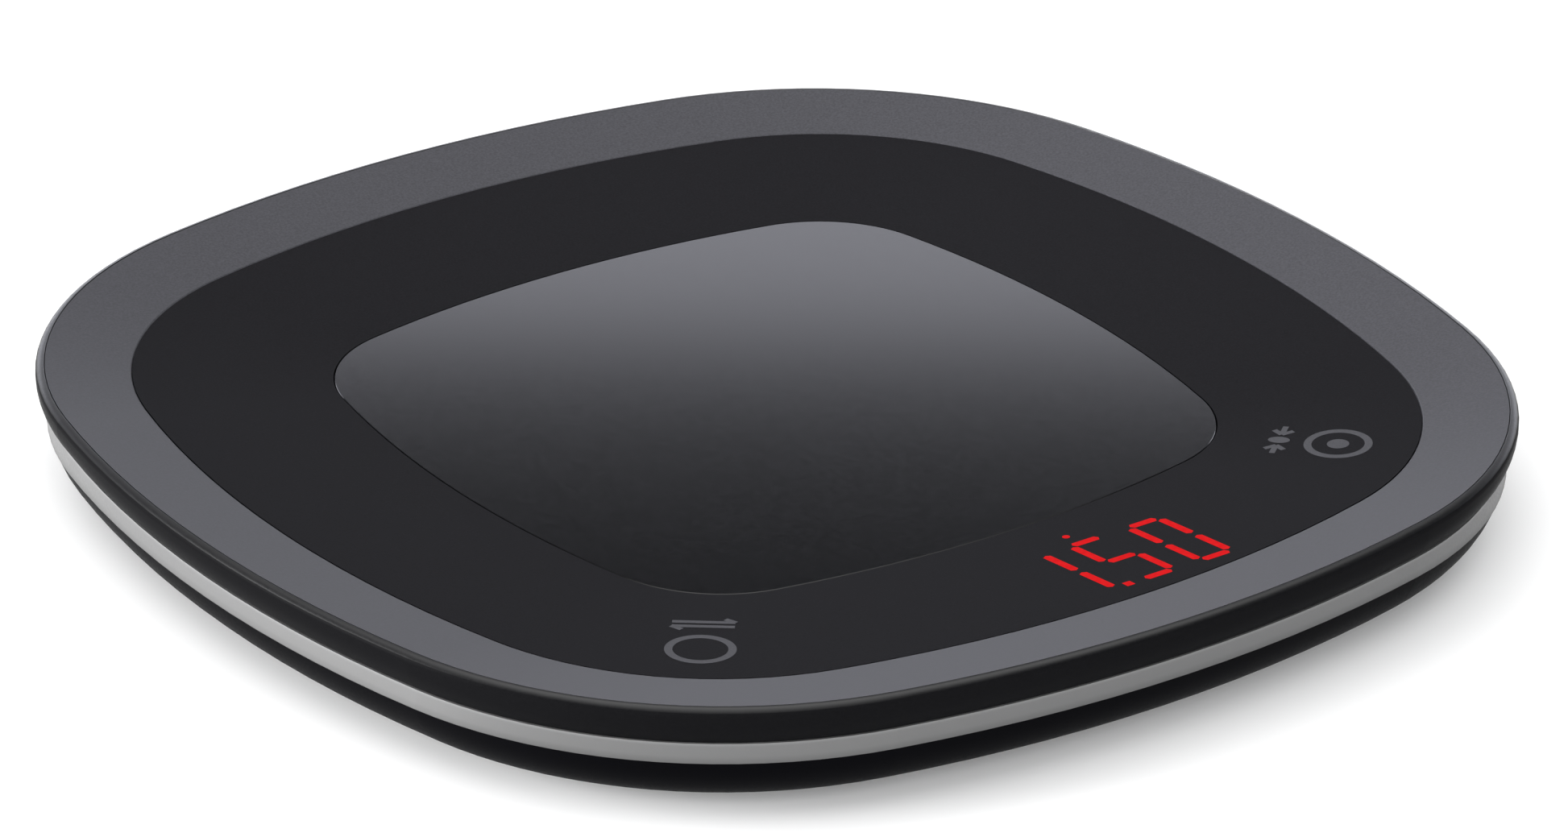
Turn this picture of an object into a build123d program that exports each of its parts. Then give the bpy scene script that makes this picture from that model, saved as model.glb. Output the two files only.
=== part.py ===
from build123d import *
from math import atan2, degrees, sqrt
import os

# Kitchen scale. The origin is on the table under the middle of the scale, +Z is up,
# and -Y is the side where the display is read. All sizes are in millimetres.

# Plan outlines: (half the width side to side, half the diagonal, corner radius).
RIM = (103.1, 113.2, 65.9)
PANEL = (89.5, 100.0, 48.7)
PLATE = (58.3, 68.8, 21.0)

# Heights of the dished top above the table.
RIM_Z = 20.4
PANEL_Z = 18.0
PLATE_Z = 15.95
SKIN = 1.5
TRAY = 1.5
BOND = 0.05
FIT = 0.1
HAIRLINE = 0.08
EDGE_BREAK = 0.2

# Side wall: distances are measured outwards from the RIM outline.
LIP_TOP_Z = 20.45
LIP_RADIUS = 1.3
LIP_REACH = 1.5
LIP_START = 0.15
LIP_CREASE = 0.05
CREASE_DEPTH = 0.25
WALL_WAIST = 0.7
WALL_WAIST_Z = 15.9
WALL_FOOT = -0.85
WALL_FOOT_Z = 14.15
BAND_TOP = -0.48
BAND_TOP_Z = 14.11
BAND_FOOT = -0.03
BAND_FOOT_Z = 11.16
BAND_DEPTH = 1.4
TONGUE = 2.05
INNER_WALL = 3.7
SEAT_OUTER_DROP = 0.5
SEAT_INNER_DROP = 0.9

# Base shell.
BASE_TOP = -0.35
BASE_TOP_Z = 11.05
BASE_KNEE = -6.5
BASE_KNEE_Z = 3.2
BASE_FLAT = -13.3
BASE_BOTTOM_Z = 1.7
BASE_SIDE_RADIUS = 11.02
BASE_SIDE_CENTRE = (-11.16, 13.19)
BASE_TURN_RADIUS = 16.0
BASE_TURN_CENTRE = (-13.3, 17.7)
BASE_CORE = -21.3
FLOOR_Z = 3.2
FLOOR_EDGE = -10.8
CAVITY_SIDE_Z = 8.5
TONGUE_TOP_Z = 13.9
ROOT = 0.5

# Feet and load cells, one in each corner.
FOOT_PLACE = 57.0
FOOT_RADIUS = 13.0
FOOT_GAP = 0.4
FLANGE_RADIUS = 14.7
FLANGE_Z = 3.3
FLANGE_TOP_Z = 4.2
PAD_RADIUS = 10.5
PAD_HEIGHT = 1.5
PAD_SHOWING = 0.7
PAD_EDGE = 0.4
STUD_RADIUS = 4.0
PRESS_ROOM = 0.45
CELL_SIZE = 28.0
CELL_Z = 6.4
CELL_HEIGHT = 1.5
CELL_FIT = 0.2
BEAM_CUT_START = -8.0
BEAM_CUT_END = 9.6
BEAM_CUT_Y = 7.0
BEAM_CUT_WIDTH = 1.6
BRACKET_SIZE = 34.0
BRACKET_Z = 5.2
BRACKET_OPENING = 10.8
BRACKET_NOTCH = 2.5
EAR_PLACE = 20.5
EAR_RADIUS = 4.0
EAR_HEIGHT = 2.0
GAUGE_START = -9.0
GAUGE_END = -4.0
GAUGE_HALF_WIDTH = 3.0
GAUGE_HEIGHT = 0.4

# Battery bay, behind the middle.
CELL_RADIUS = 5.25
BATTERY_LENGTH = 44.5
NUB_RADIUS = 1.9
NUB_HEIGHT = 1.0
BATTERY_EDGE = 0.5
BATTERY_Z = 8.55
FRONT_BATTERY_Y = 71.0
REAR_BATTERY_Y = 82.1
BAY_HALF_LENGTH = 25.2
BAY_FRONT_Y = 65.3
BAY_REAR_Y = 87.8
BAY_SIDE_WALL = 4.6
BAY_FRONT_WALL = 2.8
BAY_REAR_WALL = 1.4
BAY_CEILING_Z = 13.95
BAY_ROOF = 0.65
BAY_GAP = 0.6
CONTACT = 0.4
LEAF_WIDTH = 7.0
LEAF_NOSE = 0.55
LEAF_KNEE = 3.35
LEAF_END = 4.15
CONTACT_TAB_Z = 10.0
CONTACT_TAB_HALF_WIDTH = 1.5
TAB_END_X = 30.3
TAB_ROOT_X = 23.5

# Battery door.
DOOR_HALF_WIDTH = 27.5
DOOR_FRONT_Y = 64.0
DOOR_REAR_Y = 93.5
DOOR_GAP = 0.25
DOOR_TAB = 0.7
TAB_SLOT = 0.9
TAB_STARTS = (68.0, 80.0)
TAB_LENGTH = 5.5
TAB_HEIGHT = 0.5
GRIP_ROWS = 5
GRIP_START_Y = 86.0
GRIP_PITCH = 1.4
GRIP_WIDTH = 0.6
GRIP_DEPTH = 0.35
GRIP_HALF_LENGTH = 8.0

# Main board and display.
BOARD_X = 1.0
BOARD_Y = -71.5
BOARD_LENGTH = 64.0
BOARD_WIDTH = 39.0
BOARD_Z = 6.8
BOARD_HEIGHT = 1.6
DISPLAY_Y = -76.9
DISPLAY_WIDTH = 48.0
DISPLAY_DEPTH = 21.0
DISPLAY_TOP_Z = 14.7
DISPLAY_SIDE_GAP = 1.0
DISPLAY_END_GAP = 0.8
DIGIT_XS = (-13.4, -2.6, 8.2, 19.0)
DIGIT_WIDTH = 5.6
DIGIT_HEIGHT = 16.4
BAR_WIDTH = 1.25
BAR_GAP = 0.5
BAR_DEPTH = 3.0
POINT_RADIUS = 0.8
PIN_COUNT = 6
PIN_PITCH = 5.08
PIN_ROW = 7.62
PIN_RADIUS = 0.3
PIN_SHOWING = 1.2
BUZZER_PLACE = (17.0, -59.0)
BUZZER_RADIUS = 4.5
BUZZER_HEIGHT = 3.6
PORT_RADIUS = 0.8
PORT_DEPTH = 1.6
CONTROLLER_PLAN = (-18.0, -8.0, -64.0, -54.0)
CONTROLLER_HEIGHT = 1.4
CONVERTER_PLAN = (2.0, 8.0, -61.0, -56.0)
CONVERTER_HEIGHT = 1.2

# Touch keys, either side of the display.
KEY_X = 59.8
KEY_Y = -65.4
KEY_RADIUS = 6.5
KEY_GAP = 0.5
ELECTRODE_HEIGHT = 0.4
KEY_LEAD_TOP_Z = 15.2
KEY_LEAD_Z = 11.0
KEY_LEAD_Y = -76.0

# Heights between which a cut clears the tray, and the skin above it.
TRAY_CUT = (12.0, 19.0)
SKIN_CUT = (10.0, 25.0)

# Screws: shank radius, head radius, head height.
SCREW_RADIUS = 1.1
HEAD_RADIUS = 2.2
HEAD_HEIGHT = 1.2
THREAD_GAP = 0.03
SHANK_GAP = 0.2
HEAD_GAP = 0.3
SLOT_LENGTH = 2.8
SLOT_WIDTH = 0.5
SLOT_DEPTH = 0.6
POST_RADIUS = 3.0
BASE_POST_RADIUS = 3.4
POST_MEET_Z = 9.0
PILOT_BOTTOM_Z = 2.9
RECESS_TOP_Z = 4.2
HOUSING_SCREW_LENGTH = 8.5
BOARD_SCREW_LENGTH = 5.0
BRACKET_SCREW_LENGTH = 4.0
HOUSING_SCREW_PLACES = [
    (87.0, 24.0), (87.0, -24.0), (-87.0, 24.0), (-87.0, -24.0),
    (38.0, 87.0), (-38.0, 87.0), (38.0, -87.0), (-38.0, -87.0),
]
BOARD_SCREW_PLACES = [(-28.0, -55.0), (30.0, -55.0), (-28.0, -88.0), (30.0, -88.0)]

WIRE_RADIUS = 0.45
WIRE_BEND = 3.0
WIRE_PITCH = 1.1
LEAD_Z = 8.9
LEAD_START = 50.5
FRONT_LEAD_TURN = 41.0
FRONT_LEAD_X = 23.0
REAR_LEAD_X = 20.5
LEAD_END_Y = -54.5
BATTERY_LEAD_BEND = 1.2
BATTERY_LEAD_END_Y = -53.0
KEY_LEAD_BEND = 1.0
KEY_LEAD_INSET = 2.0

# Lanes of the battery leads: start along Y, lane X, turning Y, landing X.
BATTERY_LANES = [
    (FRONT_BATTERY_Y, -32.5, 58.0, -12.0),
    (REAR_BATTERY_Y, -34.5, 56.0, -13.5),
]

CORNERS = {
    "front_left": (-1, -1),
    "front_right": (1, -1),
    "rear_left": (-1, 1),
    "rear_right": (1, 1),
}


def outline(shape, grow, z):
    """Closed wire of tangent arcs: a square with bowed sides and round corners, grown outwards."""
    half_width, half_diagonal, corner_radius = shape
    reach = (half_diagonal - corner_radius) / sqrt(2)
    bow = corner_radius**2 - 2 * reach**2 + 2 * reach * half_width - half_width**2
    side_radius = bow / (2 * (reach - half_width + corner_radius))
    side_centre = half_width - side_radius
    side_angle = degrees(atan2(reach, reach - side_centre))
    arcs = []
    for turn in (0, 90, 180, 270):
        this_side = Vector(side_centre, 0, z).rotate(Axis.Z, turn)
        corner = Vector(reach, reach, z).rotate(Axis.Z, turn)
        next_side = Vector(side_centre, 0, z).rotate(Axis.Z, turn + 90)
        corner_angle = 90 - 2 * side_angle
        arcs.append(CenterArc(this_side, side_radius + grow, turn, side_angle))
        arcs.append(CenterArc(corner, corner_radius + grow, turn + side_angle, corner_angle))
        arcs.append(CenterArc(next_side, side_radius + grow, turn + 90 - side_angle, side_angle))
    return Wire(arcs)


def slab(shape, grow, z_low, z_high):
    """Flat plate with the outline's plan."""
    return extrude(Face(outline(shape, grow, z_low)), amount=z_high - z_low, dir=(0, 0, 1))


def flare(low_shape, low_grow, low_z, high_shape, high_grow, high_z):
    """Solid whose side runs straight from a low outline out to a high one."""
    wires = [outline(low_shape, low_grow, low_z), outline(high_shape, high_grow, high_z)]
    return Solid.make_loft(wires, ruled=True)


def moulding(edges):
    """Ring with a constant section, carried round the rim outline."""
    section = Face(Wire(edges))
    return sweep(section, path=outline(RIM, 0, 0))


def at_rim(grow, z):
    """Point of a moulding's section, given by its distance out from the rim outline."""
    return (RIM[0] + grow, 0, z)


def section_arc(start, end, radius, centre):
    """Arc of a moulding's section, bulging away from its centre."""
    middle = ((start[0] + end[0]) / 2, (start[1] + end[1]) / 2)
    away = (middle[0] - centre[0], middle[1] - centre[1])
    length = sqrt(away[0] ** 2 + away[1] ** 2)
    crown = (centre[0] + away[0] * radius / length, centre[1] + away[1] * radius / length)
    return ThreePointArc(at_rim(*start), at_rim(*crown), at_rim(*end))


def above_dish(depth):
    """Room above the dished top when that surface is lowered by depth."""
    centre = flare(PLATE, 0, PLATE_Z - depth, PANEL, 0, PANEL_Z - depth)
    ring = flare(PANEL, 0, PANEL_Z - depth, RIM, 0, RIM_Z - depth)
    room = centre + ring
    if depth > 0:
        room += slab(RIM, 0, RIM_Z - depth, RIM_Z)
    return room


def skin():
    """Layer of constant depth that forms the dished top."""
    return above_dish(SKIN) - above_dish(0)


def disc(x, y, radius, z_low, z_high):
    """Upright cylinder between two heights."""
    return Pos(x, y, z_low) * extrude(Circle(radius), amount=z_high - z_low)


def block(x_low, x_high, y_low, y_high, z_low, z_high):
    """Box between two corners."""
    size = (x_high - x_low, y_high - y_low, z_high - z_low)
    middle = ((x_low + x_high) / 2, (y_low + y_high) / 2, (z_low + z_high) / 2)
    return Pos(*middle) * Box(*size)


def screw(x, y, head_z, length, head_up):
    """Cross-head screw; head_z is the face that the head bears on."""
    up = 1 if head_up else -1
    top = head_z + up * HEAD_HEIGHT
    head = disc(x, y, HEAD_RADIUS, *sorted((head_z, top)))
    shank = disc(x, y, SCREW_RADIUS, *sorted((head_z, head_z - up * length)))
    slot = sorted((top, top - up * SLOT_DEPTH))
    long, wide = SLOT_LENGTH / 2, SLOT_WIDTH / 2
    cross = block(x - long, x + long, y - wide, y + wide, *slot)
    cross += block(x - wide, x + wide, y - long, y + long, *slot)
    return head + shank - cross


def wire(points, bend):
    """Round insulated wire along straight runs joined by bends."""
    path = FilletPolyline(*points, radius=bend)
    section = Plane(origin=path @ 0, z_dir=path % 0) * Circle(WIRE_RADIUS)
    return sweep(section, path=path)


def group(pieces):
    """Separate solids kept together in one node."""
    solids = []
    for piece in pieces:
        solids.extend(piece.solids())
    return Compound(children=solids)


def corner_frame(side):
    """Frame of one corner: local X points outwards along the diagonal."""
    turn = degrees(atan2(side[1], side[0]))
    return Pos(side[0] * FOOT_PLACE, side[1] * FOOT_PLACE, 0) * Rot(0, 0, turn)


# ---------------------------------------------------------------- top

def make_top_shell():
    """Lip, side wall and the tray that carries the ring, the panel and the plate."""
    lip_centre = (LIP_REACH - LIP_RADIUS, LIP_TOP_Z - LIP_RADIUS)
    lip_top = (lip_centre[0], LIP_TOP_Z)
    lip_side = (LIP_REACH, lip_centre[1])
    inside = [
        lip_top,
        (LIP_START, LIP_TOP_Z - BOND),
        (LIP_CREASE, RIM_Z - CREASE_DEPTH),
        (LIP_CREASE, RIM_Z - SKIN - SEAT_OUTER_DROP),
        (-INNER_WALL, RIM_Z - SKIN - SEAT_INNER_DROP),
        (-INNER_WALL, WALL_FOOT_Z),
        (WALL_FOOT, WALL_FOOT_Z),
    ]
    edges = [Line(at_rim(*start), at_rim(*end)) for start, end in zip(inside, inside[1:])]
    waist = at_rim(WALL_WAIST, WALL_WAIST_Z)
    edges.append(ThreePointArc(at_rim(*inside[-1]), waist, at_rim(*lip_side)))
    edges.append(section_arc(lip_side, lip_top, LIP_RADIUS, lip_centre))
    tray = above_dish(SKIN + BOND + TRAY) - above_dish(SKIN + BOND)
    shell = moulding(edges) + tray
    for x, y in HOUSING_SCREW_PLACES:
        post = disc(x, y, POST_RADIUS, POST_MEET_Z, PANEL_Z - SKIN - TRAY + ROOT)
        shell += post - above_dish(SKIN + BOND)
    shell -= display_opening()
    shell -= bay_opening()
    for side in (-1, 1):
        shell -= disc(side * KEY_X, KEY_Y, KEY_RADIUS + KEY_GAP, *TRAY_CUT)
    for x, y in HOUSING_SCREW_PLACES:
        shell -= disc(x, y, SCREW_RADIUS + THREAD_GAP, POST_MEET_Z - ROOT, TONGUE_TOP_Z)
    return shell


def display_opening():
    """Window in the tray for the display block."""
    half = DISPLAY_WIDTH / 2 + DISPLAY_SIDE_GAP
    deep = DISPLAY_DEPTH / 2 + DISPLAY_END_GAP
    middle = display_middle()
    return block(middle - half, middle + half, DISPLAY_Y - deep, DISPLAY_Y + deep, *TRAY_CUT)


def bay_opening():
    """Window in the tray over the battery bay."""
    half = BAY_HALF_LENGTH + BAY_SIDE_WALL + BAY_GAP
    front = BAY_FRONT_Y - BAY_FRONT_WALL - BAY_GAP
    return block(-half, half, front, BAY_REAR_Y + BAY_REAR_WALL + BAY_GAP, *TRAY_CUT)


def make_rim_ring():
    """Dished ring between the panel and the lip."""
    broken_edge = flare(PANEL, 0, PANEL_Z - EDGE_BREAK, PANEL, 2 * EDGE_BREAK, PANEL_Z + EDGE_BREAK)
    return skin() - slab(PANEL, 0, *SKIN_CUT) - broken_edge


def make_touch_panel():
    """Dished panel between the ring and the centre plate."""
    panel = skin() & slab(PANEL, -HAIRLINE, *SKIN_CUT)
    return panel - slab(PLATE, 0, *SKIN_CUT)


def make_center_plate():
    """Flat plate in the middle of the dish."""
    plate = slab(PLATE, -HAIRLINE, PLATE_Z - SKIN, PLATE_Z)
    return chamfer(plate.faces().sort_by(Axis.Z)[-1].edges(), EDGE_BREAK)


def make_trim_band():
    """Band clamped between the top shell and the base shell; it flares out downwards."""
    edges = [
        Line(at_rim(BAND_TOP, BAND_TOP_Z), at_rim(BAND_FOOT, BAND_FOOT_Z)),
        Line(at_rim(BAND_FOOT, BAND_FOOT_Z), at_rim(BAND_TOP - BAND_DEPTH, BAND_FOOT_Z)),
        Line(at_rim(BAND_TOP - BAND_DEPTH, BAND_FOOT_Z), at_rim(BAND_TOP - BAND_DEPTH, BAND_TOP_Z)),
        Line(at_rim(BAND_TOP - BAND_DEPTH, BAND_TOP_Z), at_rim(BAND_TOP, BAND_TOP_Z)),
    ]
    return moulding(edges)


# ---------------------------------------------------------------- base

def base_body():
    """Outside of the base shell, solid."""
    top = (BASE_TOP, BASE_TOP_Z)
    knee = (BASE_KNEE, BASE_KNEE_Z)
    bottom = (BASE_FLAT, BASE_BOTTOM_Z)
    edges = [
        Line(at_rim(BASE_CORE, BASE_TOP_Z), at_rim(*top)),
        section_arc(top, knee, BASE_SIDE_RADIUS, BASE_SIDE_CENTRE),
        section_arc(knee, bottom, BASE_TURN_RADIUS, BASE_TURN_CENTRE),
        Line(at_rim(*bottom), at_rim(BASE_CORE, BASE_BOTTOM_Z)),
        Line(at_rim(BASE_CORE, BASE_BOTTOM_Z), at_rim(BASE_CORE, BASE_TOP_Z)),
    ]
    return moulding(edges) + slab(RIM, BASE_CORE + ROOT, BASE_BOTTOM_Z, BASE_TOP_Z)


def make_base_shell(body):
    """Lower housing with its posts, battery bay and foot openings."""
    shell = body - flare(RIM, FLOOR_EDGE, FLOOR_Z, RIM, -INNER_WALL, CAVITY_SIDE_Z)
    shell -= slab(RIM, -INNER_WALL, CAVITY_SIDE_Z, BASE_TOP_Z + ROOT)
    shell += slab(RIM, -TONGUE, BASE_TOP_Z, TONGUE_TOP_Z)
    shell -= slab(RIM, -INNER_WALL, BASE_TOP_Z, TONGUE_TOP_Z)
    shell += bay_walls()
    for x, y in HOUSING_SCREW_PLACES:
        shell += disc(x, y, BASE_POST_RADIUS, FLOOR_Z - ROOT, POST_MEET_Z - FIT)
    for x, y in BOARD_SCREW_PLACES:
        shell += disc(x, y, POST_RADIUS, FLOOR_Z - ROOT, BOARD_Z)
    for side in CORNERS.values():
        for ear in (-EAR_PLACE, EAR_PLACE):
            shell += corner_frame(side) * disc(0, ear, POST_RADIUS, FLOOR_Z - ROOT, BRACKET_Z)
    for side in CORNERS.values():
        shell -= corner_frame(side) * disc(0, 0, FOOT_RADIUS + FOOT_GAP, 0, BRACKET_Z)
        for ear in (-EAR_PLACE, EAR_PLACE):
            shell -= corner_frame(side) * disc(0, ear, SCREW_RADIUS + THREAD_GAP, PILOT_BOTTOM_Z, BRACKET_Z)
    for x, y in HOUSING_SCREW_PLACES:
        shell -= disc(x, y, HEAD_RADIUS + HEAD_GAP, 0, RECESS_TOP_Z)
        shell -= disc(x, y, SCREW_RADIUS + SHANK_GAP, RECESS_TOP_Z, POST_MEET_Z)
    for x, y in BOARD_SCREW_PLACES:
        shell -= disc(x, y, SCREW_RADIUS + THREAD_GAP, PILOT_BOTTOM_Z, BOARD_Z)
    return shell - bay_cavity() - door_opening()


def bay_walls():
    """Box around the battery bay, before it is hollowed."""
    half = BAY_HALF_LENGTH + BAY_SIDE_WALL
    front = BAY_FRONT_Y - BAY_FRONT_WALL
    rear = BAY_REAR_Y + BAY_REAR_WALL
    return block(-half, half, front, rear, FLOOR_Z - ROOT, BAY_CEILING_Z + BAY_ROOF)


def contact_tab(y, x_end, gap):
    """Strip that leaves the bay through its left wall, grown by a gap."""
    wide = CONTACT_TAB_HALF_WIDTH + gap
    low = CONTACT_TAB_Z - gap
    return block(-TAB_END_X, x_end, y - wide, y + wide, low, CONTACT_TAB_Z + CONTACT + gap)


def bay_cavity():
    """Room for the batteries and their contacts, open at the bottom."""
    room = block(-BAY_HALF_LENGTH, BAY_HALF_LENGTH, BAY_FRONT_Y, BAY_REAR_Y, 0, BAY_CEILING_Z)
    for y in (FRONT_BATTERY_Y, REAR_BATTERY_Y):
        room += contact_tab(y, -BAY_HALF_LENGTH + ROOT, FIT)
    return room


def door_opening():
    """Opening under the bay: the door slides in it, and its tabs ride on the ledges left at the sides."""
    half = DOOR_HALF_WIDTH + TAB_SLOT
    opening = block(-half, half, DOOR_FRONT_Y - DOOR_GAP, RIM[0], 0, FLOOR_Z + BOND)
    for start in TAB_STARTS:
        for side in (-1, 1):
            across = sorted((side * (DOOR_HALF_WIDTH + DOOR_GAP), side * (half + ROOT)))
            opening -= block(*across, start, start + TAB_LENGTH, 0, FLOOR_Z - TAB_HEIGHT - FIT)
    return opening


def make_battery_door(body):
    """Sliding door that carries on the shape of the base, with two tabs on each side."""
    plate = block(-DOOR_HALF_WIDTH, DOOR_HALF_WIDTH, DOOR_FRONT_Y, DOOR_REAR_Y, 0, FLOOR_Z)
    door = body & plate
    for start in TAB_STARTS:
        for side in (-1, 1):
            across = sorted((side * (DOOR_HALF_WIDTH - ROOT), side * (DOOR_HALF_WIDTH + DOOR_TAB)))
            door += block(*across, start, start + TAB_LENGTH, FLOOR_Z - TAB_HEIGHT, FLOOR_Z)
    for row in range(GRIP_ROWS):
        y = GRIP_START_Y + row * GRIP_PITCH
        door -= block(-GRIP_HALF_LENGTH, GRIP_HALF_LENGTH, y, y + GRIP_WIDTH, 0, BASE_BOTTOM_Z + GRIP_DEPTH)
    return door


# ---------------------------------------------------------------- feet and load cells

def make_foot():
    """Foot cup: it hangs by its flange, and its stud presses up under the load cell."""
    foot = disc(0, 0, FOOT_RADIUS, PAD_SHOWING, FLANGE_Z)
    foot += disc(0, 0, FLANGE_RADIUS, FLANGE_Z, FLANGE_TOP_Z)
    foot += disc(0, 0, STUD_RADIUS, FLANGE_TOP_Z, CELL_Z - PRESS_ROOM)
    return foot - disc(0, 0, PAD_RADIUS + BOND, 0, PAD_HEIGHT)


def make_foot_pad():
    """Rubber pad let into the foot."""
    pad = disc(0, 0, PAD_RADIUS, 0, PAD_HEIGHT)
    return fillet(pad.edges().sort_by(Axis.Z)[0], PAD_EDGE)


def make_load_cell():
    """Square steel plate with a tongue cut free on three sides."""
    half = CELL_SIZE / 2
    top = CELL_Z + CELL_HEIGHT
    plate = block(-half, half, -half, half, CELL_Z, top)
    wide = BEAM_CUT_WIDTH / 2
    for y in (-BEAM_CUT_Y, BEAM_CUT_Y):
        plate -= block(BEAM_CUT_START, BEAM_CUT_END, y - wide, y + wide, CELL_Z, top)
    reach = BEAM_CUT_Y + wide
    return plate - block(BEAM_CUT_END - BEAM_CUT_WIDTH, BEAM_CUT_END, -reach, reach, CELL_Z, top)


def make_bracket():
    """Plastic frame that carries the load cell by its edge, with two screwed ears."""
    half = BRACKET_SIZE / 2
    cell_half = CELL_SIZE / 2 + CELL_FIT
    top = CELL_Z + CELL_HEIGHT + GAUGE_HEIGHT
    frame = block(-half, half, -half, half, BRACKET_Z, top)
    for ear in (-1, 1):
        frame += disc(0, ear * EAR_PLACE, EAR_RADIUS, BRACKET_Z, BRACKET_Z + EAR_HEIGHT)
        arm = sorted((ear * (half - ROOT), ear * EAR_PLACE))
        frame += block(-EAR_RADIUS, EAR_RADIUS, *arm, BRACKET_Z, BRACKET_Z + EAR_HEIGHT)
    opening = BRACKET_OPENING
    frame -= block(-opening, opening, -opening, opening, BRACKET_Z, top)
    frame -= block(-cell_half, cell_half, -cell_half, cell_half, CELL_Z, top)
    frame -= block(-half, -cell_half + ROOT, -BRACKET_NOTCH, BRACKET_NOTCH, CELL_Z, top)
    for ear in (-1, 1):
        frame -= disc(0, ear * EAR_PLACE, SCREW_RADIUS + SHANK_GAP, BRACKET_Z, top)
    return frame


def make_strain_gauge():
    """Gauge film bonded on the root of the tongue."""
    top = CELL_Z + CELL_HEIGHT
    wide = GAUGE_HALF_WIDTH
    return block(GAUGE_START, GAUGE_END, -wide, wide, top, top + GAUGE_HEIGHT)


def make_cell_leads(side):
    """Three leads, stacked, from the gauge over to the board's edge."""
    across, along = side
    start = (across * LEAD_START, along * LEAD_START)
    if along < 0:
        turn = (across * FRONT_LEAD_TURN, -FRONT_LEAD_TURN)
        lane = across * FRONT_LEAD_X
        plan = [start, turn, (lane, -FRONT_LEAD_TURN), (lane, LEAD_END_Y)]
    else:
        lane = across * REAR_LEAD_X
        plan = [start, (lane, REAR_LEAD_X), (lane, LEAD_END_Y)]
    leads = []
    for layer in range(3):
        z = LEAD_Z + layer * WIRE_PITCH
        leads.append(wire([(x, y, z) for x, y in plan], WIRE_BEND))
    return group(leads)


# ---------------------------------------------------------------- electronics

def make_main_board():
    """Circuit board with holes for its screws and for the display's pins."""
    x_low = BOARD_X - BOARD_LENGTH / 2
    y_low = BOARD_Y - BOARD_WIDTH / 2
    board = block(x_low, x_low + BOARD_LENGTH, y_low, y_low + BOARD_WIDTH, BOARD_Z, BOARD_Z + BOARD_HEIGHT)
    for x, y in BOARD_SCREW_PLACES:
        board -= disc(x, y, SCREW_RADIUS + SHANK_GAP, BOARD_Z, BOARD_Z + BOARD_HEIGHT)
    for x, y in pin_places():
        board -= disc(x, y, PIN_RADIUS + FIT, BOARD_Z, BOARD_Z + BOARD_HEIGHT)
    return board


def display_middle():
    """Middle of the four digits, side to side."""
    return (DIGIT_XS[0] + DIGIT_XS[-1]) / 2


def pin_places():
    """Two rows of pins under the display."""
    start = display_middle() - (PIN_COUNT - 1) / 2 * PIN_PITCH
    rows = (DISPLAY_Y - PIN_ROW, DISPLAY_Y + PIN_ROW)
    return [(start + k * PIN_PITCH, y) for k in range(PIN_COUNT) for y in rows]


def make_display_pins():
    """Pins that solder the display to the board."""
    low = BOARD_Z - PIN_SHOWING
    return group([disc(x, y, PIN_RADIUS, low, BOARD_Z + BOARD_HEIGHT) for x, y in pin_places()])


def digit_bars(x):
    """Seven light bars of one digit, lying in the display's face."""
    half_height = DIGIT_HEIGHT / 2
    half_width = DIGIT_WIDTH / 2
    bars = []
    for y in (-half_height, 0, half_height):
        bars.append(bar(x, DISPLAY_Y + y, DIGIT_WIDTH - BAR_WIDTH - FIT, BAR_WIDTH))
    for side in (-half_width, half_width):
        for y in (-half_height / 2, half_height / 2):
            bars.append(bar(x + side, DISPLAY_Y + y, BAR_WIDTH, half_height - BAR_WIDTH - BAR_GAP))
    return bars


def bar(x, y, length, width):
    """One light bar, let into the display's face."""
    low = DISPLAY_TOP_Z - BAR_DEPTH
    return block(x - length / 2, x + length / 2, y - width / 2, y + width / 2, low, DISPLAY_TOP_Z)


def make_light_bars():
    """Light bars of the four digits and their points."""
    bars = []
    for x in DIGIT_XS:
        bars.extend(digit_bars(x))
        point_y = DISPLAY_Y - DIGIT_HEIGHT / 2
        bars.append(disc(x + DIGIT_WIDTH, point_y, POINT_RADIUS, DISPLAY_TOP_Z - BAR_DEPTH, DISPLAY_TOP_Z))
    return group(bars)


def make_display_housing(light_bars):
    """Reflector block with a pocket for each light bar."""
    middle = display_middle()
    half = DISPLAY_WIDTH / 2
    low = DISPLAY_Y - DISPLAY_DEPTH / 2
    top = DISPLAY_Y + DISPLAY_DEPTH / 2
    housing = block(middle - half, middle + half, low, top, BOARD_Z + BOARD_HEIGHT, DISPLAY_TOP_Z)
    for light_bar in light_bars.solids():
        housing -= light_bar
    return housing


def make_buzzer(board_top):
    """Round sounder with a port in its lid."""
    x, y = BUZZER_PLACE
    lid = board_top + BUZZER_HEIGHT
    return disc(x, y, BUZZER_RADIUS, board_top, lid) - disc(x, y, PORT_RADIUS, lid - PORT_DEPTH, lid)


def make_electrode(side):
    """Foil disc bonded under the panel at one touch key."""
    layer = above_dish(SKIN + ELECTRODE_HEIGHT) - above_dish(SKIN)
    return layer & disc(side * KEY_X, KEY_Y, KEY_RADIUS, *SKIN_CUT)


def make_key_lead(side):
    """Lead from an electrode to the board."""
    landing = BOARD_X + side * (BOARD_LENGTH / 2 - KEY_LEAD_INSET)
    points = [
        (side * KEY_X, KEY_Y, KEY_LEAD_TOP_Z),
        (side * KEY_X, KEY_Y, KEY_LEAD_Z),
        (side * KEY_X, KEY_LEAD_Y, KEY_LEAD_Z),
        (landing, KEY_LEAD_Y, KEY_LEAD_Z),
        (landing, KEY_LEAD_Y, BOARD_Z + BOARD_HEIGHT + BOND),
    ]
    return wire(points, KEY_LEAD_BEND)


# ---------------------------------------------------------------- batteries

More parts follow.
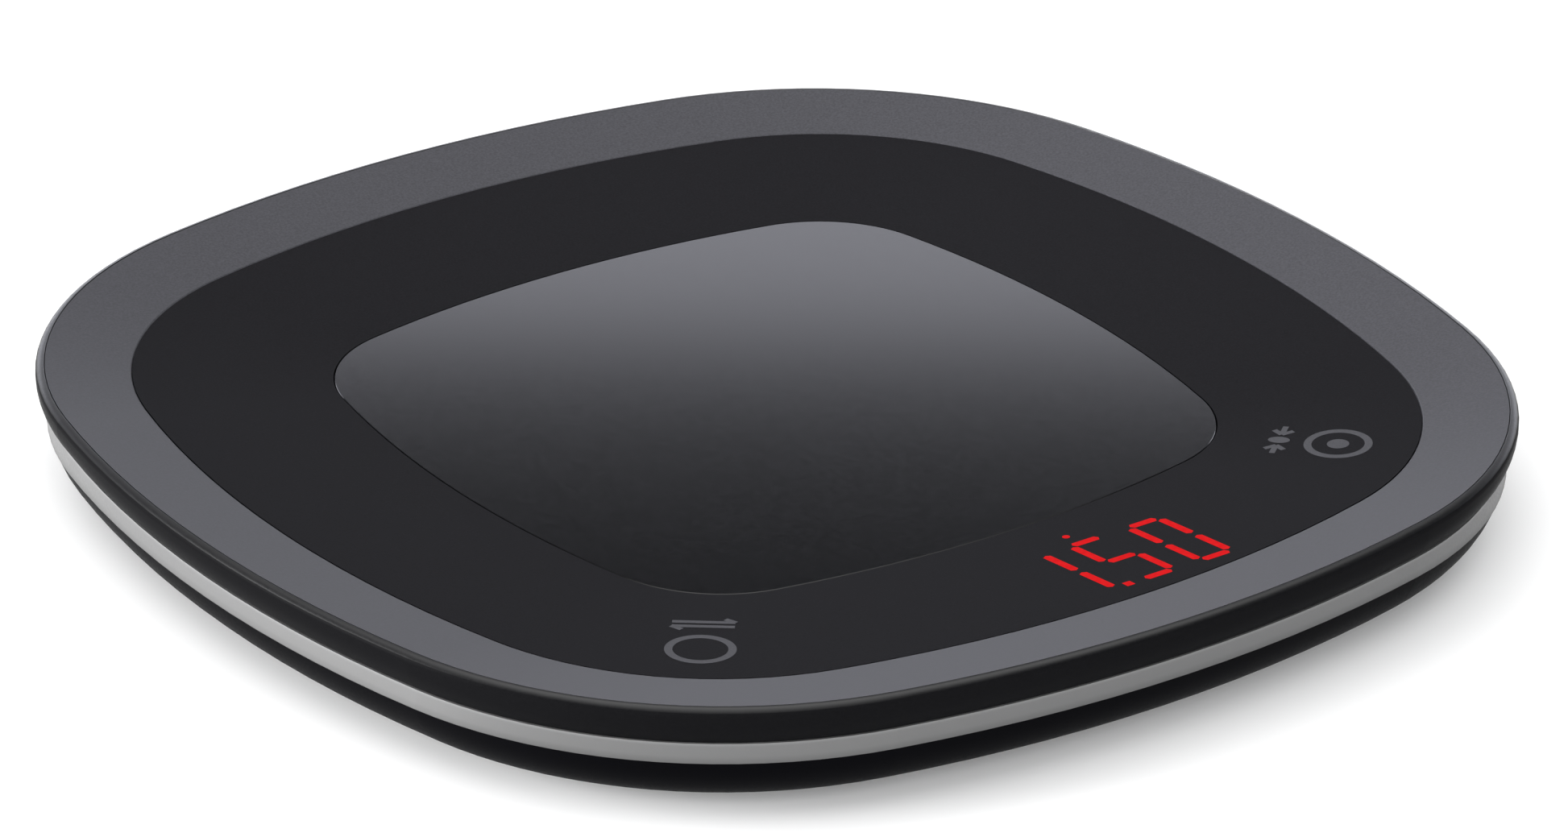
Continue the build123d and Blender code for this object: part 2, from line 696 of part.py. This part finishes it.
def make_battery(y, nub_side):
    """Dry cell lying along X, with its nub at one end."""
    can_length = BATTERY_LENGTH - NUB_HEIGHT
    lie = Pos(0, y, BATTERY_Z) * Rot(0, 90, 0)
    can = lie * Pos(0, 0, -nub_side * NUB_HEIGHT / 2) * Cylinder(CELL_RADIUS, can_length)
    can = fillet(can.edges(), BATTERY_EDGE)
    nub = lie * Pos(0, 0, nub_side * (BATTERY_LENGTH - NUB_HEIGHT) / 2) * Cylinder(NUB_RADIUS, NUB_HEIGHT)
    return can + nub


def leaf(y, side):
    """Sprung leaf: a strip bent to a blunt V that bears on the end of a battery."""
    root = BAY_HALF_LENGTH - FIT - CONTACT
    tip = BATTERY_LENGTH / 2 + FIT
    upper = [(tip, LEAF_NOSE), (root, LEAF_KNEE), (root, LEAF_END)]
    bend = [(x, -rise) for x, rise in reversed(upper)] + upper
    back = [(x + CONTACT, rise) for x, rise in reversed(bend)]
    corners = [(side * x, y - LEAF_WIDTH / 2, BATTERY_Z + rise) for x, rise in bend + back]
    strip = Face(Wire.make_polygon(corners))
    return extrude(strip, amount=LEAF_WIDTH, dir=(0, 1, 0))


def make_end_contact(y):
    """Contact at the left end of one battery, with a tab through the bay wall for its lead."""
    return leaf(y, -1) + contact_tab(y, -TAB_ROOT_X, 0)


def make_link_contact():
    """Contact at the right end, which joins the two batteries."""
    wall = BAY_HALF_LENGTH - FIT
    low = BATTERY_Z + LEAF_KNEE
    high = BATTERY_Z + LEAF_END
    bridge = block(wall - CONTACT, wall, FRONT_BATTERY_Y, REAR_BATTERY_Y, low, high)
    return leaf(FRONT_BATTERY_Y, 1) + leaf(REAR_BATTERY_Y, 1) + bridge


def make_battery_leads():
    """Two leads from the end contacts to the board."""
    leads = []
    z = CONTACT_TAB_Z + CONTACT / 2
    for start_y, lane_x, turn_y, landing_x in BATTERY_LANES:
        points = [
            (-TAB_END_X - FIT, start_y, z),
            (lane_x, start_y, z),
            (lane_x, turn_y, z),
            (landing_x, turn_y, z),
            (landing_x, BATTERY_LEAD_END_Y, z),
        ]
        leads.append(wire(points, BATTERY_LEAD_BEND))
    return group(leads)


# ---------------------------------------------------------------- the assembly

def make_screws():
    """The three sets of screws, by node name."""
    housing = [screw(x, y, RECESS_TOP_Z, HOUSING_SCREW_LENGTH, False) for x, y in HOUSING_SCREW_PLACES]
    board_top = BOARD_Z + BOARD_HEIGHT
    board = [screw(x, y, board_top, BOARD_SCREW_LENGTH, True) for x, y in BOARD_SCREW_PLACES]
    bracket = []
    for side in CORNERS.values():
        for ear in (-EAR_PLACE, EAR_PLACE):
            bearing_z = BRACKET_Z + EAR_HEIGHT
            bracket.append(corner_frame(side) * screw(0, ear, bearing_z, BRACKET_SCREW_LENGTH, True))
    return {
        "housing_screws": group(housing),
        "board_screws": group(board),
        "bracket_screws": group(bracket),
    }


def make_corner_parts():
    """Foot, pad, load cell, bracket and leads of every corner, by node name."""
    parts = {}
    for name, side in CORNERS.items():
        place = corner_frame(side)
        parts[name + "_foot"] = place * make_foot()
        parts[name + "_foot_pad"] = place * make_foot_pad()
        parts[name + "_load_cell"] = place * make_load_cell()
        parts[name + "_cell_bracket"] = place * make_bracket()
        parts[name + "_strain_gauge"] = place * make_strain_gauge()
        parts[name + "_cell_leads"] = make_cell_leads(side)
    return parts


def make_electronics():
    """Board, display, chips, buzzer and touch electrodes, by node name."""
    board_top = BOARD_Z + BOARD_HEIGHT
    light_bars = make_light_bars()
    return {
        "main_board": make_main_board(),
        "display_housing": make_display_housing(light_bars),
        "display_light_bars": light_bars,
        "display_pins": make_display_pins(),
        "controller_chip": block(*CONTROLLER_PLAN, board_top, board_top + CONTROLLER_HEIGHT),
        "converter_chip": block(*CONVERTER_PLAN, board_top, board_top + CONVERTER_HEIGHT),
        "buzzer": make_buzzer(board_top),
        "unit_key_electrode": make_electrode(-1),
        "tare_key_electrode": make_electrode(1),
        "unit_key_lead": make_key_lead(-1),
        "tare_key_lead": make_key_lead(1),
    }


def make_power():
    """Batteries, contacts and leads, by node name."""
    return {
        "front_battery": make_battery(FRONT_BATTERY_Y, 1),
        "rear_battery": make_battery(REAR_BATTERY_Y, -1),
        "battery_negative_contact": make_end_contact(FRONT_BATTERY_Y),
        "battery_positive_contact": make_end_contact(REAR_BATTERY_Y),
        "battery_link_contact": make_link_contact(),
        "battery_leads": make_battery_leads(),
    }


def main():
    """Write one file per node."""
    body = base_body()
    parts = {
        "top_shell": make_top_shell(),
        "rim_ring": make_rim_ring(),
        "touch_panel": make_touch_panel(),
        "center_plate": make_center_plate(),
        "trim_band": make_trim_band(),
        "base_shell": make_base_shell(body),
        "battery_door": make_battery_door(body),
    }
    parts.update(make_corner_parts())
    parts.update(make_electronics())
    parts.update(make_power())
    parts.update(make_screws())
    os.makedirs("parts", exist_ok=True)
    for name, shape in parts.items():
        export_step(shape, f"parts/{name}.step")


main()
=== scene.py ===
from math import cos, pi, radians, sin

import bmesh
import bpy
from mathutils import Matrix, Vector
from mathutils.bvhtree import BVHTree


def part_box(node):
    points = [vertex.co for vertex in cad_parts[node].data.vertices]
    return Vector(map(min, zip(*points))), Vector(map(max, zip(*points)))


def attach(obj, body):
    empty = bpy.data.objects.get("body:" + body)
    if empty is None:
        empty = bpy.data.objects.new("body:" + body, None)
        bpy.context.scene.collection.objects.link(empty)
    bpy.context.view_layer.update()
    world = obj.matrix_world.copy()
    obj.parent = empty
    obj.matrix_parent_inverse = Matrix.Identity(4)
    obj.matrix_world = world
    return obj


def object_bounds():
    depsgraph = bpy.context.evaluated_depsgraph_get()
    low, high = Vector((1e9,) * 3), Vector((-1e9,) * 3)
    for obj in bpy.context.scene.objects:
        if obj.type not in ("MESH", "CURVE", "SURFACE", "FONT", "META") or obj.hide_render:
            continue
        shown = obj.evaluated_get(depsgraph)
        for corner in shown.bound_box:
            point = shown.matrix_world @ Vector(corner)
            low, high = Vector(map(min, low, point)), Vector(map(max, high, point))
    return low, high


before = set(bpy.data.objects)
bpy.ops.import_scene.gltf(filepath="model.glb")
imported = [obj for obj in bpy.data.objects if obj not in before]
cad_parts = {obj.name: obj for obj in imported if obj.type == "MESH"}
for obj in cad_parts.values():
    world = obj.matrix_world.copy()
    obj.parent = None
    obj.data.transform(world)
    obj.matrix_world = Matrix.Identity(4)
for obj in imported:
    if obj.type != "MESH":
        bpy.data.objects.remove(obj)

# A kitchen scale on a pale floor. Metres throughout, in the frame of the CAD.

CAD_BOX = [list(corner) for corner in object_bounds()]

# ---------------------------------------------------------------- materials

NOISE_LOW = 0.3
NOISE_HIGH = 0.7
GLOW_GRAIN = 900.0


def material(name):
    """New node material; gives the material, its nodes, its links and its shader."""
    made = bpy.data.materials.new(name)
    made.use_nodes = True
    nodes = made.node_tree.nodes
    return made, nodes, made.node_tree.links, nodes["Principled BSDF"]


def noise(nodes, links, scale, detail=3.0, stretch=(1.0, 1.0, 1.0)):
    """Noise over the object's own coordinates; scale is in waves per metre."""
    place = nodes.new("ShaderNodeTexCoord")
    mapping = nodes.new("ShaderNodeMapping")
    mapping.inputs["Scale"].default_value = stretch
    links.new(place.outputs["Object"], mapping.inputs["Vector"])
    texture = nodes.new("ShaderNodeTexNoise")
    texture.inputs["Scale"].default_value = scale
    texture.inputs["Detail"].default_value = detail
    links.new(mapping.outputs["Vector"], texture.inputs["Vector"])
    return texture.outputs["Fac"]


def spread(nodes, links, factor, low, high, start=NOISE_LOW, end=NOISE_HIGH):
    """Map a range of a factor, by default the middle range of a noise, to low..high."""
    ranged = nodes.new("ShaderNodeMapRange")
    ranged.inputs["From Min"].default_value = start
    ranged.inputs["From Max"].default_value = end
    ranged.inputs["To Min"].default_value = low
    ranged.inputs["To Max"].default_value = high
    links.new(factor, ranged.inputs["Value"])
    return ranged.outputs["Result"]


def graded(nodes, links, factor, stops):
    """Colour that follows a factor; stops are (factor, colour)."""
    ramp = nodes.new("ShaderNodeValToRGB")
    elements = ramp.color_ramp.elements
    while len(elements) < len(stops):
        elements.new(0.5)
    for element, (share, color) in zip(elements, stops):
        element.position = share
        element.color = (*color, 1.0)
    links.new(factor, ramp.inputs["Fac"])
    return ramp.outputs["Color"]


def tint(nodes, links, factor, low, high):
    """Mix two colours by a noise's middle range."""
    return graded(nodes, links, factor, ((NOISE_LOW, low), (NOISE_HIGH, high)))


def grained(name, color, roughness, metallic=0.0, grain=1500.0, tone=0.12, rough=0.05, bump=0.2,
            depth=0.00002, specular=0.5, stretch=(1.0, 1.0, 1.0)):
    """Solid-coloured surface with a fine grain in its tone, gloss and relief."""
    made, nodes, links, shader = material(name)
    fine = noise(nodes, links, grain, stretch=stretch)
    low = [channel * (1 - tone) for channel in color]
    high = [channel * (1 + tone) for channel in color]
    links.new(tint(nodes, links, fine, low, high), shader.inputs["Base Color"])
    links.new(spread(nodes, links, fine, roughness - rough, roughness + rough), shader.inputs["Roughness"])
    shader.inputs["Metallic"].default_value = metallic
    shader.inputs["Specular IOR Level"].default_value = specular
    relief = nodes.new("ShaderNodeBump")
    relief.inputs["Strength"].default_value = bump
    relief.inputs["Distance"].default_value = depth
    links.new(fine, relief.inputs["Height"])
    links.new(relief.outputs["Normal"], shader.inputs["Normal"])
    return made


def height_range(nodes, links, start, end, low=0.0, high=1.0):
    """Value that goes from low to high between two heights above the table."""
    place = nodes.new("ShaderNodeTexCoord")
    split = nodes.new("ShaderNodeSeparateXYZ")
    links.new(place.outputs["Object"], split.inputs["Vector"])
    return spread(nodes, links, split.outputs["Z"], low, high, start, end)


def polish_above(made, start, end, low, high):
    """Let a surface's reflection grow from low to high between two heights."""
    nodes = made.node_tree.nodes
    links = made.node_tree.links
    amount = height_range(nodes, links, start, end, low, high)
    links.new(amount, nodes["Principled BSDF"].inputs["Specular IOR Level"])


def paint_shading_by_height(made, start, end, tones):
    """Paint light and shade into a surface's colour by height: tones are (share of the height, brightness).
    """
    nodes = made.node_tree.nodes
    links = made.node_tree.links
    stops = [(share, (tone, tone, tone)) for share, tone in tones]
    color = graded(nodes, links, height_range(nodes, links, start, end), stops)
    links.new(color, nodes["Principled BSDF"].inputs["Base Color"])


def glowing(name, low, high):
    """Lit plastic: its glow varies slightly from place to place."""
    made, nodes, links, shader = material(name)
    fine = noise(nodes, links, GLOW_GRAIN)
    glow = tint(nodes, links, fine, low, high)
    links.new(glow, shader.inputs["Emission Color"])
    shader.inputs["Emission Strength"].default_value = 1.0
    shader.inputs["Base Color"].default_value = (0.02, 0.0, 0.0, 1.0)
    shader.inputs["Roughness"].default_value = 0.5
    shader.inputs["Specular IOR Level"].default_value = 0.0
    return made


# The black wall is dull; its lip begins to shine just under its top.
LIP_START = 0.00065
LIP_END = 0.00005
WALL_SHINE = 0.006
LIP_SHINE = 0.55
SHELL = grained("satin black", (0.0056, 0.0056, 0.0062), 0.36, grain=2500, bump=0.01)
SHELL_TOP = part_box("top_shell")[1].z
polish_above(SHELL, SHELL_TOP - LIP_START, SHELL_TOP - LIP_END, WALL_SHINE, LIP_SHINE)
BASE = grained("base black", (0.0015, 0.0015, 0.0021), 0.42, grain=2000, bump=0.03, specular=0.012)
RING = grained("satin grey", (0.051, 0.0508, 0.0575), 0.50, grain=2600, tone=0.22, bump=0.10, specular=0.12)
PANEL = grained("matte black", (0.0068, 0.0066, 0.0078), 0.65, grain=3200, tone=0.5, bump=0.15,
                specular=0.035)
PLATE = grained("gloss black", (0.0015, 0.0015, 0.0018), 0.17, grain=900, tone=0.1, rough=0.01,
                bump=0.02)
SILVER = grained("satin silver", (0.118, 0.118, 0.120), 0.42, grain=2500, tone=0.06, bump=0.12)
BAND_LOW, BAND_HIGH = (corner.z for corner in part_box("trim_band"))
# Painted shade and highlight: the band's colour darkens towards its bottom, with a painted highlight along
# its top edge.
BAND_PAINTED_SHADING = ((0.0, 0.060), (0.35, 0.096), (0.85, 0.104), (1.0, 0.155))
paint_shading_by_height(SILVER, BAND_LOW, BAND_HIGH, BAND_PAINTED_SHADING)
RUBBER = grained("rubber", (0.025, 0.025, 0.026), 0.75, grain=1800, bump=0.4, specular=0.3)
STEEL = grained("ground steel", (0.48, 0.48, 0.50), 0.35, metallic=1.0, grain=900, stretch=(1, 12, 1))
NICKEL = grained("nickel strip", (0.62, 0.60, 0.56), 0.28, metallic=1.0, grain=1500)
NATURAL = grained("natural plastic", (0.62, 0.61, 0.57), 0.5, grain=1200)
FILM = grained("gauge film", (0.55, 0.36, 0.12), 0.3, grain=1500)
LEAD = grained("red insulation", (0.35, 0.02, 0.02), 0.45, grain=2000)
BOARD = grained("solder mask", (0.015, 0.13, 0.05), 0.35, grain=900)
CHIP = grained("chip moulding", (0.02, 0.02, 0.021), 0.55, grain=3000)
LIGHT_BAR = grained("unlit bar", (0.30, 0.03, 0.03), 0.4, grain=1500)
FOIL = grained("foil", (0.75, 0.73, 0.70), 0.3, metallic=1.0, grain=1500)
SLEEVE = grained("battery sleeve", (0.03, 0.08, 0.22), 0.25, grain=700)
SCREW = grained("zinc plated", (0.34, 0.34, 0.36), 0.34, metallic=1.0, grain=1800)
PRINT = grained("grey print", (0.048, 0.048, 0.054), 0.6, grain=3000, tone=0.2, specular=0.15)
GLOW = glowing("lit segment", (0.66, 0.013, 0.016), (0.76, 0.019, 0.022))

CORNERS = ("front_left", "front_right", "rear_left", "rear_right")
LOOKS = {
    "top_shell": SHELL,
    "base_shell": BASE,
    "battery_door": BASE,
    "rim_ring": RING,
    "touch_panel": PANEL,
    "center_plate": PLATE,
    "trim_band": SILVER,
    "main_board": BOARD,
    "display_housing": CHIP,
    "display_light_bars": LIGHT_BAR,
    "display_pins": NICKEL,
    "controller_chip": CHIP,
    "converter_chip": CHIP,
    "buzzer": CHIP,
    "unit_key_electrode": FOIL,
    "tare_key_electrode": FOIL,
    "unit_key_lead": LEAD,
    "tare_key_lead": LEAD,
    "battery_leads": LEAD,
    "front_battery": SLEEVE,
    "rear_battery": SLEEVE,
    "battery_negative_contact": NICKEL,
    "battery_positive_contact": NICKEL,
    "battery_link_contact": NICKEL,
    "housing_screws": SCREW,
    "board_screws": SCREW,
    "bracket_screws": SCREW,
}
for corner in CORNERS:
    LOOKS[corner + "_foot"] = BASE
    LOOKS[corner + "_foot_pad"] = RUBBER
    LOOKS[corner + "_load_cell"] = STEEL
    LOOKS[corner + "_cell_bracket"] = NATURAL
    LOOKS[corner + "_strain_gauge"] = FILM
    LOOKS[corner + "_cell_leads"] = LEAD

for node_name, look in LOOKS.items():
    for material_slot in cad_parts[node_name].material_slots:
        material_slot.material = look

# ---------------------------------------------------------------- marks on the panel

bpy.context.view_layer.update()
panel_surface = BVHTree.FromObject(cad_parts["touch_panel"], bpy.context.evaluated_depsgraph_get())
ABOVE = CAD_BOX[1][2] + 0.01
MARK_LIFT = 0.00002
MARK_ROOT = 0.00006


def surface_z(x, y):
    """Height of the dished panel at a place."""
    return panel_surface.ray_cast(Vector((x, y, ABOVE)), Vector((0, 0, -1)))[0].z


def add_loop(mesh, points):
    """Two rings of vertices, just above the panel and just inside it."""
    top = [mesh.verts.new((x, y, surface_z(x, y) + MARK_LIFT)) for x, y in points]
    root = [mesh.verts.new((x, y, surface_z(x, y) - MARK_ROOT)) for x, y in points]
    return top, root


def add_sides(mesh, top, root):
    """Wall between two rings of vertices."""
    count = len(top)
    for k in range(count):
        after = (k + 1) % count
        mesh.faces.new((root[k], root[after], top[after], top[k]))


def add_patch(mesh, points):
    """Thin solid with a simple outline."""
    top, root = add_loop(mesh, points)
    mesh.faces.new(top)
    mesh.faces.new(list(reversed(root)))
    add_sides(mesh, top, root)


def add_ring(mesh, x, y, outer, inner, steps=48):
    """Thin annulus; with no inner radius it is a disc."""
    turn = [2 * pi * k / steps for k in range(steps)]
    outer_points = [(x + outer * cos(a), y + outer * sin(a)) for a in turn]
    if not inner:
        add_patch(mesh, outer_points)
        return
    inner_points = [(x + inner * cos(a), y + inner * sin(a)) for a in turn]
    outer_top, outer_root = add_loop(mesh, outer_points)
    inner_top, inner_root = add_loop(mesh, inner_points)
    add_sides(mesh, outer_top, outer_root)
    add_sides(mesh, list(reversed(inner_top)), list(reversed(inner_root)))
    for k in range(steps):
        after = (k + 1) % steps
        mesh.faces.new((outer_top[k], outer_top[after], inner_top[after], inner_top[k]))
        mesh.faces.new((inner_root[k], inner_root[after], outer_root[after], outer_root[k]))


def finish_mark(mesh, name, look):
    """Turn the drawn patches into a piece that rides with the scale."""
    bmesh.ops.recalc_face_normals(mesh, faces=mesh.faces)
    data = bpy.data.meshes.new(name)
    mesh.to_mesh(data)
    mesh.free()
    data.materials.append(look)
    piece = bpy.data.objects.new(name, data)
    bpy.context.scene.collection.objects.link(piece)
    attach(piece, "scale_body")
    return piece


def middle_of(node):
    """Middle of a CAD node's box, in plan."""
    low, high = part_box(node)
    return (low.x + high.x) / 2, (low.y + high.y) / 2


# Digits: cells and bars are those of the display block under the panel.
DIGIT_PITCH = 0.0108
MIDDLE_CELL = 1.5
DIGIT_WIDTH = 0.00566
DIGIT_HEIGHT = 0.0165
DIGIT_LEAN = 0.045
BAR_WIDTH = 0.00136
UPRIGHT_LENGTH = 0.0071
LEVEL_LENGTH = 0.0049
BAR_POINT = 0.0004
POINT_SIZE = 0.0014
DOT_PLACE = (0.0039, 0.0115)
DOT_RADIUS = 0.0006
BARS = {
    "a": (0, 1), "g": (0, 0), "d": (0, -1),
    "b": (1, 0.5), "c": (1, -0.5), "f": (-1, 0.5), "e": (-1, -0.5),
}
SHOWN = {1: "bc", 2: "afgcd", 3: "abcdef"}


def leaned(x, y, base_y):
    """Shift a point sideways by the digits' lean."""
    return x - (y - base_y) * DIGIT_LEAN, y


def add_bar(mesh, x, y, base_y, level):
    """One lit bar with blunt points at its ends."""
    half_long = (LEVEL_LENGTH if level else UPRIGHT_LENGTH) / 2
    half_wide = BAR_WIDTH / 2
    outline = [
        (half_long, 0), (half_long - BAR_POINT, half_wide), (-half_long + BAR_POINT, half_wide),
        (-half_long, 0), (-half_long + BAR_POINT, -half_wide), (half_long - BAR_POINT, -half_wide),
    ]
    if not level:
        outline = [(-v, u) for u, v in outline]
    add_patch(mesh, [leaned(x + u, y + v, base_y) for u, v in outline])


display_x, display_y = middle_of("display_housing")
digits = bmesh.new()
for cell, letters in SHOWN.items():
    cell_x = display_x + (cell - MIDDLE_CELL) * DIGIT_PITCH
    for letter in letters:
        across, up = BARS[letter]
        place = (cell_x + across * DIGIT_WIDTH / 2, display_y + up * DIGIT_HEIGHT / 2)
        add_bar(digits, *place, display_y, across == 0)
point_x = display_x - DIGIT_PITCH / 2 + DIGIT_WIDTH
point_y = display_y - DIGIT_HEIGHT / 2
half = POINT_SIZE / 2
add_patch(digits, [(point_x - half, point_y - half), (point_x + half, point_y - half),
                   (point_x + half, point_y + half), (point_x - half, point_y + half)])
add_ring(digits, display_x + DOT_PLACE[0], display_y + DOT_PLACE[1], DOT_RADIUS, 0, steps=20)
finish_mark(digits, "lit_digits", GLOW)

# Touch keys: a ring each, a dot in the tare key, and a plain pictogram beside it.
KEY_RING = 0.00525
KEY_STROKE = 0.0012
KEY_DOT = 0.0017
PICTOGRAM_AWAY = 0.0092
KEY_TURN = radians(38)
STROKE = 0.0009
# Strokes of the pictograms: each is drawn twice, the second time turned half round.
UNIT_STROKES = (
    ((-0.0046, 0.0008), (0.0046, 0.0008)),
    ((0.0047, 0.0008), (0.0031, 0.0020)),
)
TARE_STROKES = (
    ((0.0049, 0.0), (0.0022, 0.0)),
    ((0.0020, 0.0), (0.0034, 0.0015)),
    ((0.0020, 0.0), (0.0034, -0.0015)),
)
ZERO_SIZE = (0.0011, 0.0017)
ZERO_STEPS = 24
KEY_SHIFTS = {"unit_key_electrode": (-0.0003, -0.0005), "tare_key_electrode": (-0.0005, 0.0006)}


def add_stroke(mesh, frame_at, start, end):
    """Straight stroke of the print's width between two places of a pictogram."""
    run = end - start
    side = Vector((-run.y, run.x)).normalized() * STROKE / 2
    corners = [start + side, start - side, end - side, end + side]
    add_patch(mesh, [frame_at(*corner) for corner in corners])


def pictogram_frame(x, y, turn):
    """Plan of a pictogram that is turned about its middle."""
    def place(u, v):
        return x + u * cos(turn) - v * sin(turn), y + u * sin(turn) + v * cos(turn)
    return place


for side, node in ((-1, "unit_key_electrode"), (1, "tare_key_electrode")):
    key_x, key_y = (middle + shift for middle, shift in zip(middle_of(node), KEY_SHIFTS[node]))
    turn = side * KEY_TURN
    prints = bmesh.new()
    add_ring(prints, key_x, key_y, KEY_RING, KEY_RING - KEY_STROKE)
    place = pictogram_frame(key_x - sin(turn) * PICTOGRAM_AWAY, key_y + cos(turn) * PICTOGRAM_AWAY, turn)
    if side > 0:
        add_ring(prints, key_x, key_y, KEY_DOT, 0, steps=24)
    strokes = UNIT_STROKES if side < 0 else TARE_STROKES
    for start, end in strokes:
        for way in (-1, 1):
            add_stroke(prints, place, way * Vector(start), way * Vector(end))
    if side > 0:
        around = [2 * pi * k / ZERO_STEPS for k in range(ZERO_STEPS)]
        add_patch(prints, [place(ZERO_SIZE[0] * cos(a), ZERO_SIZE[1] * sin(a)) for a in around])
    finish_mark(prints, node.replace("electrode", "print"), PRINT)

# ---------------------------------------------------------------- floor, light and camera

FLOOR_SIZE = 12.0
FLOOR_DROP = 0.00002
FLOOR_MOTTLE = 3.0
# A faint glow of the floor itself lifts the shadows as a light tent does.
FLOOR_FILL = 0.09
FLOOR_LOW = (0.90, 0.90, 0.90)
FLOOR_HIGH = (0.92, 0.92, 0.92)


def make_floor():
    """Large pale floor with a very slight mottling."""
    made, nodes, links, shader = material("pale floor")
    broad = noise(nodes, links, FLOOR_MOTTLE)
    links.new(tint(nodes, links, broad, FLOOR_LOW, FLOOR_HIGH), shader.inputs["Base Color"])
    shader.inputs["Roughness"].default_value = 0.9
    shader.inputs["Specular IOR Level"].default_value = 0.0
    shader.inputs["Emission Color"].default_value = (1.0, 1.0, 1.0, 1.0)
    shader.inputs["Emission Strength"].default_value = FLOOR_FILL
    half = FLOOR_SIZE / 2
    data = bpy.data.meshes.new("floor")
    plan = ((-half, -half), (half, -half), (half, half), (-half, half))
    corners = [(x, y, -FLOOR_DROP) for x, y in plan]
    data.from_pydata(corners, [], [(0, 1, 2, 3)])
    data.materials.append(made)
    floor = bpy.data.objects.new("floor", data)
    bpy.context.scene.collection.objects.link(floor)


def area_light(name, place, target, size, radiance, color=(1.0, 1.0, 1.0)):
    """Rectangular soft light aimed at a point, given by the brightness of its face."""
    data = bpy.data.lights.new(name, "AREA")
    data.shape = "RECTANGLE"
    data.size, data.size_y = size
    data.energy = radiance * pi * size[0] * size[1]
    data.color = color
    light = bpy.data.objects.new(name, data)
    light.location = place
    aim = Vector(target) - Vector(place)
    light.rotation_euler = aim.to_track_quat("-Z", "Y").to_euler()
    light.visible_camera = False
    bpy.context.scene.collection.objects.link(light)
    return light


# Share of the studio's strength by the sine of the height above the horizon.
STUDIO = (
    (0.00, (0.40, 0.41, 0.43)),
    (0.22, (0.375, 0.39, 0.43)),
    (0.33, (0.005, 0.005, 0.005)),
    (0.62, (0.015, 0.015, 0.015)),
    (0.86, (1.0, 1.0, 1.0)),
)
STUDIO_STRENGTH = 2.0


def make_world():
    """Studio: a glow along the horizon, dark above it, and a wide soft light overhead."""
    world = bpy.data.worlds.new("studio")
    world.use_nodes = True
    nodes = world.node_tree.nodes
    links = world.node_tree.links
    place = nodes.new("ShaderNodeTexCoord")
    split = nodes.new("ShaderNodeSeparateXYZ")
    links.new(place.outputs["Generated"], split.inputs["Vector"])
    links.new(graded(nodes, links, split.outputs["Z"], STUDIO), nodes["Background"].inputs["Color"])
    nodes["Background"].inputs["Strength"].default_value = STUDIO_STRENGTH
    bpy.context.scene.world = world


make_floor()
make_world()
# The centre plate mirrors the low card behind it; the others light the left side and the front.
rear_card = area_light("rear card", (0.20, 0.27, 0.09), (0, 0, 0.09), (0.9, 0.14), 1.85, (0.89, 0.90, 1.0))
rear_card.visible_diffuse = False
area_light("left card", (-1.3, 0.75, 0.27), (0, 0, 0), (1.0, 0.5), 28.0)
area_light("front card", (-0.62, -1.30, 0.62), (0, 0, 0), (2.0, 1.1), 3.1)

# Camera: its place, turn, tilt and roll, with a long lens.
CAMERA_PLACE = (-0.6497, -0.9021, 0.5340)
CAMERA_TURN = radians(-35.85)
CAMERA_TILT = radians(90 - 25.13)
CAMERA_ROLL = radians(0.366)
SENSOR_WIDTH = 36.0
LENS = 182.6

camera_data = bpy.data.cameras.new("camera")
camera_data.sensor_width = SENSOR_WIDTH
camera_data.lens = LENS
camera = bpy.data.objects.new("camera", camera_data)
turned = Matrix.Rotation(CAMERA_TURN, 4, "Z") @ Matrix.Rotation(CAMERA_TILT, 4, "X")
camera.matrix_world = Matrix.Translation(CAMERA_PLACE) @ turned @ Matrix.Rotation(CAMERA_ROLL, 4, "Z")
bpy.context.scene.collection.objects.link(camera)
bpy.context.scene.camera = camera

bpy.context.scene.view_settings.view_transform = "Standard"
bpy.context.scene.view_settings.look = "None"
